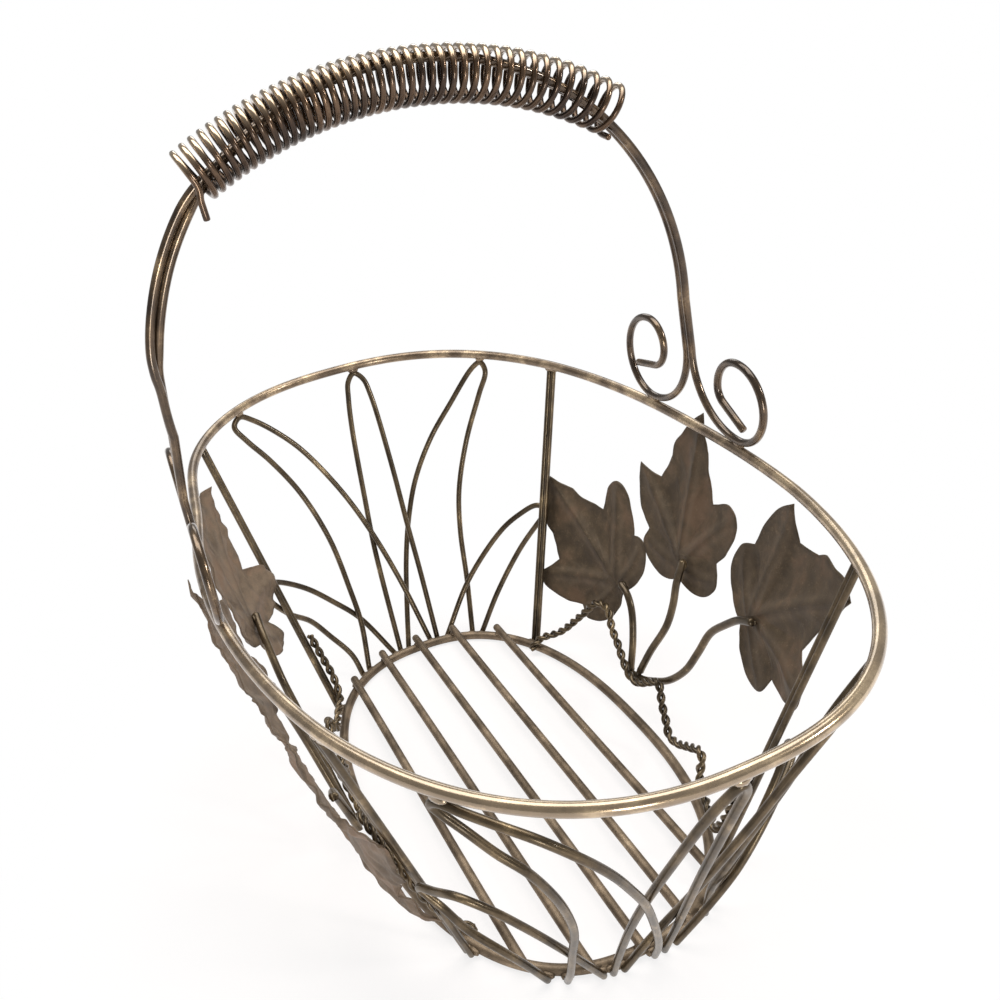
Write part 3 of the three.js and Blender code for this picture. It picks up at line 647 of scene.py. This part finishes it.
# Main veins run from the stem to the five points, side veins branch off them
MAIN_VEINS = [
    [(0, 2), (-0.4, 24), (-2, 46), (-4.5, 67)],
    [(0, 6), (12, 19), (22, 30), (32, 40.5)],
    [(0, 6), (-11, 17), (-21, 26), (-31, 34)],
    [(0, 5), (10, 5.5), (18, 7), (26.5, 10)],
    [(0, 5), (-9, 4.5), (-16, 4.8), (-24, 6.5)],
]
SIDE_VEINS = [
    [(-0.5, 27), (6, 35), (13.5, 43)], [(-1.4, 37), (5, 45), (11, 52)], [(-2.4, 47), (2, 54), (5.5, 58.5)],
    [(-0.6, 29), (-6, 36), (-13, 42.5)], [(-1.8, 40), (-6, 46), (-10.5, 53)],
    [(7, 13.5), (15, 14.5), (25, 16)], [(14, 21), (21, 23), (29, 24)], [(11, 18), (14, 27), (18, 37.5)],
    [(19, 27), (22, 33), (25, 39.5)], [(-7, 13), (-14, 13.5), (-22, 14)], [(-13, 19), (-20, 20.5), (-29, 22)],
    [(-10, 16.5), (-13, 25), (-16.5, 34.5)], [(-18, 23.5), (-21, 30), (-24, 37)],
]


def distance_to(veins, x, y):
    """Least distance from every point to a set of creases."""
    least = np.full(x.shape, 1e9)
    for vein in veins:
        line = smooth([(px, py, 0) for px, py in vein], 5)
        for (ax, ay, _), (bx, by, _) in zip(line[:-1], line[1:]):
            dx, dy = bx - ax, by - ay
            share = np.clip(((x - ax) * dx + (y - ay) * dy) / (dx * dx + dy * dy), 0, 1)
            least = np.minimum(least, np.hypot(x - ax - share * dx, y - ay - share * dy))
    return least


def on_rolled_wall(middle, x, y, out):
    """The wall rolled out flat: x mm from the panel's middle, y mm up the slope."""
    up = y / SLOPE
    narrowing = NARROWING + (1 - NARROWING) * up
    return on_wall(middle + x / narrowing / rim.length, up, out)


def leaf_edge():
    """The edge in short steps: smooth from one corner to the next."""
    ring = np.array(LEAF_EDGE, float)
    runs = []
    for start, stop in zip(LEAF_CORNERS, [*LEAF_CORNERS[1:], len(ring)]):
        run = ring[np.arange(start, stop + 1) % len(ring)]
        runs.append(smooth(run, EDGE_STEPS)[:-1])
    return np.vstack(runs)


EDGE = leaf_edge()

SWELL = 3.1  # how far the sheet is pressed out between the main veins
PINCH = 0.7  # depth of the side veins' creases
HEM = 0.95  # share of the way to the edge where the dark edge starts


def waves(x, y, scale, seed):
    """Soft waves of the sheet at every point."""
    return np.array([noise.noise(Vector((a * scale, b * scale, seed))) for a, b in zip(x, y)])


def leaf_relief(x, y, share, lift, seed, crumple, bent):
    """How far the sheet stands out at every point, how much painted crease shade (with the dark edge) and how much
    painted highlight beside the veins it gets.
    """
    main, side = distance_to(MAIN_VEINS, x, y), distance_to(SIDE_VEINS, x, y)
    crown = share**0.45 * (1 - share**3)
    swell = SWELL * crown * (1 - np.exp(-main / 4.4))
    pinch = PINCH * crown * np.exp(-side / 1.3) * (1 - np.exp(-((main / 2) ** 2)))
    wander, dent = waves(x, y, 0.09, seed), waves(x, y, 0.24, seed + 9)
    height = lift + swell - pinch + share * (0.9 * wander + 0.3 * dent) + crumple * share**2 * dent
    height = height + bent * (x - np.hypot(x, 3)) / 2
    inside = 1 - share**4
    creases = np.exp(-((main / 1.1) ** 2)) + 0.35 * np.exp(-((side / 0.7) ** 2))
    # Painted shade along the creases, and the dark edge from HEM outwards
    crease_shade_and_edge = np.clip(creases * inside + 1.4 * np.clip((share - HEM) / 0.03, 0, 1), 0, 1)
    # Painted highlight on the raised strip beside each main vein
    ridge_highlight = np.exp(-(((main - 2.4) / 1.3) ** 2)) * inside
    return height, crease_shade_and_edge, ridge_highlight


def sheet_faces(count, rows):
    """Faces of a sheet whose front is rings of points from the heart to the edge, then the heart; its back follows."""
    total = rows * count + 1
    faces = []
    for k in range(count):
        m = (k + 1) % count
        for j in range(rows - 1):
            a, b, c, d = j * count + k, j * count + m, (j + 1) * count + m, (j + 1) * count + k
            faces += [(a, d, c, b), (total + a, total + b, total + c, total + d)]
        faces += [(total - 1, k, m), (2 * total - 1, total + m, total + k)]
        edge_a, edge_b = (rows - 1) * count + k, (rows - 1) * count + m
        faces.append((edge_a, total + edge_a, total + edge_b, edge_b))
    return faces


def leaf(name, middle, placing, seed, finish, crumple, bent):
    """crumple: how unevenly the sheet lies, bent: mm that its left half is bent in for each mm beside the vein."""
    count = len(EDGE)
    rows = np.linspace(0, 1, LEAF_ROWS + 1)[1:, None] ** 0.8
    x = np.append(LEAF_HEART[0] + rows * (EDGE[:, 0] - LEAF_HEART[0]), LEAF_HEART[0])
    y = np.append(LEAF_HEART[1] + rows * (EDGE[:, 1] - LEAF_HEART[1]), LEAF_HEART[1])
    share = np.append(rows * np.ones(count), 0)
    lift = np.append(rows * EDGE[:, 2], 0)
    height, crease_shade_and_edge, ridge_highlight = leaf_relief(x, y, share, lift, seed, crumple, bent)
    half = LEAF_SHEET / 2 * np.where(share > 0.995, 0.55, 1)
    tilt = math.radians(placing["lean"])
    x, y = x * placing["wide"], y * placing["long"]
    across = placing["x"] + x * math.cos(tilt) + y * math.sin(tilt)
    rise = placing["up"] * SLOPE - x * math.sin(tilt) + y * math.cos(tilt)
    sides = [on_rolled_wall(middle, across, rise, LEAF_OUT + height + face * half) for face in (1, -1)]
    made = add_mesh(f"{name}_sheet", np.vstack(sides), sheet_faces(count, LEAF_ROWS), finish, [name])
    for measure, values in (("crease_shade_and_edge", crease_shade_and_edge), ("ridge_highlight", ridge_highlight)):
        mark = made.data.attributes.new(measure, "FLOAT", "POINT")
        mark.data.foreach_set("value", np.concatenate([values, values]).astype(np.float32))


# Leaves of a side panel: base notch on the rolled out wall, lean from upright in degrees, and how
# wide and long the leaf is drawn out beside the edge line
LEAVES = {
    "low": {"x": 30, "up": 0.337, "lean": 61.5, "wide": 1.05, "long": 0.99},
    "middle": {"x": -2.8, "up": 0.5225, "lean": 6.4, "wide": 0.97, "long": 0.97},
    "high": {"x": -44.3, "up": 0.56, "lean": -52, "wide": 0.97, "long": 1.1},
}
# The left sheets lie unevenly, and the high one is bent in on one side of its middle vein
LEFT_CRUMPLE = 1.3
LEFT_BENT = {"high": 0.22}

# The three stems meet at their feet: the low and middle ones stand on the end of the high one
ON_STEM = (STEM_WIRE + SEAT) / SLOPE
STEM_FOOT = 0.119
STEMS = {
    "low": [[36.9, 0.381], [30.6, 0.362], [24.9, 0.317], [20.4, 0.224], [18.6, STEM_FOOT + 0.1 * ON_STEM]],
    "middle": [
        [-9.1, 0.599], [-7.8, 0.521], [-8.6, 0.448], [-7, 0.366], [2.6, 0.239], [9, STEM_FOOT + ON_STEM],
    ],
    "high": [
        [-65.5, 0.606], [-57.3, 0.577], [-49, 0.524], [-41, 0.461], [-36.4, 0.372], [-30.8, 0.286],
        [-18.9, 0.203], [-3.8, 0.149], [6, 0.125], [15.5, STEM_FOOT - 0.005],
    ],
}
for side, turned in (("right", 0.0), ("left", 0.5)):
    for i, (name, placing) in enumerate(LEAVES.items()):
        crumple, bent = (LEFT_CRUMPLE, LEFT_BENT.get(name, 0)) if side == "left" else (0, 0)
        leaf(f"leaf_{side}_{name}", turned, placing, 3.7 * i + 20 * turned, LEAF_PAINTS[side], crumple, bent)
        path = wall_path(turned, STEMS[name], 8)
        wire(f"stem_{side}_{name}_rod", path, STEM_WIRE, wire_metal, [f"stem_{side}_{name}"], dome=0.6)
        out = unit(path[0] * [1, 1, 0])
        weld("leaf", path[2] + out, path[0] - path[3], out, 2.8, 1.5, 1.0)
        weld("leaf", path[-1], path[-1] - path[-3], -out, 2.2, 1.6, 1.6)

# ---------------------------------------------------------------- twisted vine

VINE_PITCH = 9.2
PITCH_STEPS = 14
VINE_HELIX = VINE_WIRE / 2 + 0.3
VINE_IN = -(STEM_WIRE / 2 + SEAT + VINE_HELIX + VINE_WIRE / 2)
TWIST_WIRE = VINE_WIRE + 0.2  # the drawn strands are thicker and lie closer together than the solid ones
TWIST_RADIUS = TWIST_WIRE / 2 + 0.06
# The vine from post to post, in stations as for the blades
VINE = [
    [110, 0, 2.2 * VINE_IN], [104, 0.042, 1.5 * VINE_IN], [87, 0.095], [66, 0.2], [51, 0.281], [41, 0.284],
    [35.2, 0.23], [28, 0.195], [19.5, 0.15], [12, 0.124], [3, 0.125], [-9, 0.165], [-17, 0.188],
    [-24.8, 0.135], [-32, 0.1], [-38.5, 0.068], [-47.3, 0.07], [-61.6, 0.112], [-71.6, 0.14],
    [-76.4, 0.125], [-78.6, 0.088], [-85, 0.06], [-104, 0.052], [-117.5, 0.058], [-122.6, 0.12],
    [-121.7, 0.2], [-120.5, 0.29],
]


def even_stations(path, spacing):
    """The same line with stations at even distances, and its length."""
    travel = np.concatenate([[0], np.cumsum(np.linalg.norm(np.diff(path, axis=0), axis=1))])
    count = max(2, round(travel[-1] / spacing))
    at = np.linspace(0, travel[-1], count + 1)
    return np.stack([np.interp(at, travel, path[:, i]) for i in range(3)], 1), travel[-1]


for side, turned in (("right", 0.0), ("left", 0.5)):
    line = wall_path(turned, [[*station, VINE_IN][:3] for station in VINE], 16)
    line, length = even_stations(line, VINE_PITCH / PITCH_STEPS)
    ahead, right, over = carried_frames(line, False)
    share = np.linspace(0, 1, len(line))
    loose = TWIST_RADIUS + 0.06 * np.sin(40 * share) ** 2
    for strand, phase in ((1, 0.0), (2, 0.5)):
        angle = 2 * math.pi * (length / VINE_PITCH * share + phase + 0.05 * np.sin(23 * share))
        path = line + loose[:, None] * (right * np.cos(angle)[:, None] + over * np.sin(angle)[:, None])
        name = f"vine_{side}_strand_{strand}"
        wire(f"{name}_twist", path, TWIST_WIRE, wire_metal, [name], sides=10)

# ---------------------------------------------------------------- handle

LEG_APART = (HANDLE_WIRE + SEAT) / 2
SCROLL_FOOT = RIM["height"] + HOOP_FLAT + SEAT + HANDLE_WIRE / 2
SCROLL_MIDDLE = {name: LEG_APART + bends["foot"] for name, bends in SCROLLS.items()}
LEG_REACH = rim.width_at(SCROLL_MIDDLE["far"])
ARCH_CENTRE = HANDLE_TOP - LEG_REACH
BEND_STEP = 4.5  # degrees between stations in a bend
HALF_PAIR = HANDLE_WIRE / 2 + 0.03  # the drawn wires touch along the arch


def arc(centre, right, up, radius, start, stop, step=BEND_STEP):
    """Stations of a bend after its start, in degrees from right towards up."""
    count = math.ceil(abs(stop - start) / step)
    angle = np.radians(start + (stop - start) * np.arange(1, count + 1) / count)[:, None]
    return centre + radius * (right * np.cos(angle) + up * np.sin(angle))


def scroll(middle, out, y, foot, loop, curl, hook, hook_turn, tail):
    """A leg's scroll from its top down and in to its tip.

    middle: the point between the two legs, out: the way this scroll runs along the rim, y: the middle of its loop.
    """

    def at(y, z):
        return middle + out * y + UP * z

    top = SCROLL_FOOT + 2 * loop
    bends = [
        at(LEG_APART, SCROLL_FOOT + foot)[None],
        arc(at(y, SCROLL_FOOT + foot), out, UP, foot, 180, 270),
        arc(at(y, SCROLL_FOOT + loop), out, UP, loop, -90, 90),
        arc(at(y, top - curl), out, UP, curl, 90, 180),
        arc(at(y - curl + hook, top - curl), out, UP, hook, 180, 180 + hook_turn),
    ]
    heading = math.radians(270 + hook_turn)
    tip = bends[-1][-1] + tail * (out * math.cos(heading) + UP * math.sin(heading))
    return np.vstack([*bends, np.linspace(bends[-1][-1], tip, 5)[1:]])


def standing(side):
    """Where the legs of a side meet the line between the places where its two scrolls stand."""
    ends = np.array([-SCROLL_MIDDLE["near"], SCROLL_MIDDLE["far"]])
    places = np.stack([side * rim.width_at(ends) + (rim.dent_at(ends) if side < 0 else 0), ends, 0 * ends], 1)
    share = ends[0] / (ends[0] - ends[1])
    return places[0] + share * (places[1] - places[0]), unit(places[1] - places[0])


def left_leg(away):
    """The left leg of the wire on the near or far side: turned beside the other wire below the coil."""
    degrees, reach, turn = smooth(LEFT_LEG, 8).T
    angle, turn = np.radians(degrees), np.radians(turn)
    radius = reach - away * HALF_PAIR * np.sin(turn)
    across, up = radius * np.cos(angle) - ARCH_LEAN, radius * np.sin(angle) + ARCH_CENTRE
    return np.stack([across, away * HALF_PAIR * np.cos(turn), up], 1)


for name, away in (("far", 1), ("near", -1)):
    arch = np.array([-ARCH_LEAN, away * HALF_PAIR, ARCH_CENTRE])
    feet = [standing(side) for side in (1, -1)]
    first, last = (scroll(middle, away * along, SCROLL_MIDDLE[name], **SCROLLS[name]) for middle, along in feet)
    right_leg = np.linspace(first[0], arch + ACROSS * LEG_REACH, 12)[1:]
    bow = arc(arch, ACROSS, UP, LEG_REACH, 0, ARCH_TURN, 2)
    bend = left_leg(away)
    drop = np.linspace(bend[-1], last[0], 12)[1:]
    path = np.vstack([first[::-1], right_leg, bow, bend, drop, last[1:]])
    wire(f"handle_{name}_rod", path, HANDLE_WIRE, handle_metal, [f"handle_wire_{name}"], sides=18, dome=0.4)
    for middle, along in feet:
        touch = middle + away * along * SCROLL_MIDDLE[name] + UP * (SCROLL_FOOT - 1.5)
        weld("rim", touch, along, ACROSS, 3.2, 1.5, 1.2)

# ---------------------------------------------------------------- grip coil

COIL_HELIX = (COIL_WIDTH - COIL_WIRE) / 2
COIL_PLAY = 0.06
coil_room = COIL_HELIX - COIL_WIRE / 2 - HANDLE_WIRE / 2 - COIL_PLAY
coil_shift = math.sqrt(coil_room**2 - LEG_APART**2)
coil_top = HANDLE_TOP - coil_shift
coil_ends = ARCH_CENTRE + math.sqrt(LEG_REACH**2 - COIL_REACH**2) + 1.15 * coil_shift
coil_sag = coil_top - coil_ends
COIL_BEND = (COIL_REACH**2 + coil_sag**2) / (2 * coil_sag)


def coil_share(t):
    """How far along the coil the turns have come at a share t of them."""

    def travel(s):
        return s + COIL_OPENING * ((s - COIL_CLOSEST) ** 3 + COIL_CLOSEST**3) / 3

    return travel(t) / travel(1)


TURN_STEPS = 30


def coil_path():
    """The whole spring: a tail that hangs down beside the left leg, the turns and a short right tail."""
    t = np.linspace(0, 1, round(COIL_TURNS * TURN_STEPS))
    half = math.asin(COIL_REACH / COIL_BEND)
    lean = half * (2 * coil_share(t) - 1)
    spin = 2 * math.pi * (0.25 + COIL_TURNS * t)
    reach = COIL_BEND - COIL_HELIX * np.cos(spin)
    path = np.stack([reach * np.sin(lean), -COIL_HELIX * np.sin(spin), reach * np.cos(lean)], 1)
    path[:, 2] += coil_top - COIL_BEND - ARCH_CENTRE
    ends = []
    for end, inner, tail in ((0, 1, COIL_TAILS["left"]), (-1, -2, COIL_TAILS["right"])):
        away = unit(path[end] - path[inner])
        travel = np.linspace(0.2, tail["length"] - 0.5, 12)[:, None]
        hung = unit(away - (UP + 0.25 * ACROSS) * tail["droop"])
        share = 0.7 * np.clip(travel / 5, 0, 1)
        ends.append(path[end] + travel * ((1 - share) * away + share * hung))
    path = np.vstack([ends[0][::-1], path, ends[1]])
    slip = -COIL_SLIP / LEG_REACH
    turn = np.array([[math.cos(slip), 0, -math.sin(slip)], [0, 1, 0], [math.sin(slip), 0, math.cos(slip)]])
    return path @ turn.T + UP * ARCH_CENTRE - ACROSS * ARCH_LEAN


# Painted highlight: the grip is paled and made glossier on the outer side of its turns
GRIP_HIGHLIGHT = {
    "axes": (1, 0, 1),
    "centre": (-ARCH_LEAN * MM, 0, (coil_top - COIL_BEND) * MM),
    "starts": (COIL_BEND + 3) * MM,
    "full": (COIL_BEND + 7.5) * MM,
    "pale": 0.62,
}
coil_look = {"wear": 0.6, "roughness": 0.22, "coat": 1, "shine": 1.55, "metallic": 0.85}
coil_metal = antique_metal("coil_antique", COIL_TONES, **coil_look, highlit_and_polished=GRIP_HIGHLIGHT)
wire("grip_spring", coil_path(), COIL_WIRE, coil_metal, ["grip_coil"], sides=12, dome=0.5)

# ---------------------------------------------------------------- welds


def weld_beads(group, beads, finish, slot, rows=7, columns=12):
    """Lumpy beads of one group, as one piece."""
    vertices, faces = [], []
    for seed, (centre, along, toward, size) in enumerate(beads):
        toward = unit(toward - along * np.dot(toward, along))
        over = np.cross(along, toward)
        start = len(vertices)
        for row in range(1, rows):
            lean = math.pi * row / rows
            for column in range(columns):
                spin = 2 * math.pi * column / columns
                ball = np.array([math.cos(lean), math.sin(lean) * math.cos(spin), math.sin(lean) * math.sin(spin)])
                lump = 1 + 0.3 * noise.noise(Vector(ball * 1.6) + Vector((seed * 3.1, 0, 0)))
                x, y, z = ball * lump * size
                vertices.append(centre + along * x + toward * y + over * z)
        vertices += [centre + along * size[0] * sign for sign in (1, -1)]
        for row in range(rows - 2):
            for column in range(columns):
                a = start + row * columns + column
                b = start + row * columns + (column + 1) % columns
                faces.append((a, b, b + columns, a + columns))
        top = start + (rows - 1) * columns
        last = top - columns
        for column in range(columns):
            following = (column + 1) % columns
            faces.append((top, start + following, start + column))
            faces.append((top + 1, last + column, last + following))
    add_mesh(f"weld_beads_{group}", vertices, faces, finish, [])


WELD_FINISH = {"rim": (hoop_metal, "hoop"), "base": (base_metal, "wire"), "leaf": (wire_metal, "wire")}
for group, beads in welds.items():
    weld_beads(group, beads, *WELD_FINISH[group])

# ---------------------------------------------------------------- floor, light and camera

FLOOR_REACH = 6.0  # metres, as all lengths from here on
WHITE = (1, 1, 1, 1)


def floor():
    """A pale sheet that looks white, with a faint shadow close to the basket."""
    mesh = bpy.data.meshes.new("floor_sheet")
    corners = [(x * FLOOR_REACH, y * FLOOR_REACH, 0) for x, y in ((-1, -1), (1, -1), (1, 1), (-1, 1))]
    mesh.from_pydata(corners, [], [(0, 1, 2, 3)])
    sheet = bpy.data.objects.new("floor_sheet", mesh)
    bpy.context.scene.collection.objects.link(sheet)
    paper = Finish("floor_paper")
    seen = paper.node("ShaderNodeLightPath", output="Is Camera Ray")
    mirrored = paper.node("ShaderNodeLightPath", output="Is Glossy Ray")
    beside = 1 - paper.between(paper.vector("LENGTH", {0: paper.place()}, "Value"), 0.07, 0.2)
    matt = paper.node("ShaderNodeBsdfDiffuse", inputs={"Color": (1, 0.92, 0.91, 1)})
    bright = paper.node("ShaderNodeEmission", inputs={"Color": WHITE, "Strength": 1.0})
    white = seen * (1 - 0.22 * beside) + 0.7 * mirrored
    mesh.materials.append(paper.show(paper.node("ShaderNodeMixShader", inputs={0: white, 1: matt, 2: bright})))


def studio_world():
    """Even, slightly warm light from all sides; the camera sees it as white."""
    world = bpy.data.worlds.new("studio")
    bpy.context.scene.world = world
    room = Nodes(world)
    seen = room.node("ShaderNodeLightPath", output="Is Camera Ray")
    sky = room.node("ShaderNodeBackground", inputs={"Color": (1, 0.99, 0.97, 1), "Strength": 0.3})
    white = room.node("ShaderNodeBackground", inputs={"Color": WHITE})
    surface = room.node("ShaderNodeMixShader", inputs={0: seen, 1: sky, 2: white})
    room.node("ShaderNodeOutputWorld", inputs={"Surface": surface})


def soft_light(name, place, aim, size, watts, colour):
    data = bpy.data.lights.new(name, "AREA")
    data.shape = "RECTANGLE"
    data.size, data.size_y = size
    data.energy = watts
    data.color = colour
    lamp = bpy.data.objects.new(name, data)
    lamp.location = place
    lamp.rotation_euler = (Vector(aim) - Vector(place)).to_track_quat("-Z", "Y").to_euler()
    bpy.context.scene.collection.objects.link(lamp)


floor()
studio_world()
soft_light("overhead", (0.05, 0.2, 1.25), (0, 0.05, 0.1), (1.6, 0.8), 18, (1, 0.97, 0.92))
soft_light("backdrop", (0.5, 1.3, 0.9), (0, 0, 0.12), (0.8, 0.5), 3, (1, 0.98, 0.94))
soft_light("side", (1.1, -0.9, 0.9), (0, 0, 0.14), (0.18, 0.18), 7, (1, 0.97, 0.92))
soft_light("front", (-0.35, -1.5, 0.2), (0, 0, 0.1), (0.4, 0.4), 7, (1, 0.96, 0.88))

# The photograph's view, found from the ovals of the rim and the base and from the bars; angles in degrees
CAMERA_PLACE = (-0.1089, -0.3107, 0.2914)
CAMERA_YAW = 19.51
CAMERA_PITCH = 27.22
CAMERA_ROLL = -8.8
CAMERA_SENSOR = 36
CAMERA_LENS = 38.58
CAMERA_SHIFT = (0.0303, 0.0023)


def camera():
    """The photograph's camera, shifted rather than turned to bring the basket into the frame."""
    yaw, pitch, roll = (math.radians(v) for v in (CAMERA_YAW, CAMERA_PITCH, CAMERA_ROLL))
    ahead = Vector((math.sin(yaw) * math.cos(pitch), math.cos(yaw) * math.cos(pitch), -math.sin(pitch)))
    level = Vector((math.cos(yaw), -math.sin(yaw), 0))
    upright = level.cross(ahead)
    right = math.cos(roll) * level + math.sin(roll) * upright
    over = -math.sin(roll) * level + math.cos(roll) * upright
    data = bpy.data.cameras.new("photo_view")
    data.sensor_width = CAMERA_SENSOR
    data.lens = CAMERA_LENS
    data.shift_x, data.shift_y = CAMERA_SHIFT
    data.clip_start = 0.01
    view = bpy.data.objects.new("photo_view", data)
    view.matrix_world = Matrix.Translation(CAMERA_PLACE) @ Matrix((right, over, -ahead)).transposed().to_4x4()
    bpy.context.scene.collection.objects.link(view)
    bpy.context.scene.camera = view


camera()
bpy.context.scene.view_settings.view_transform = "Standard"
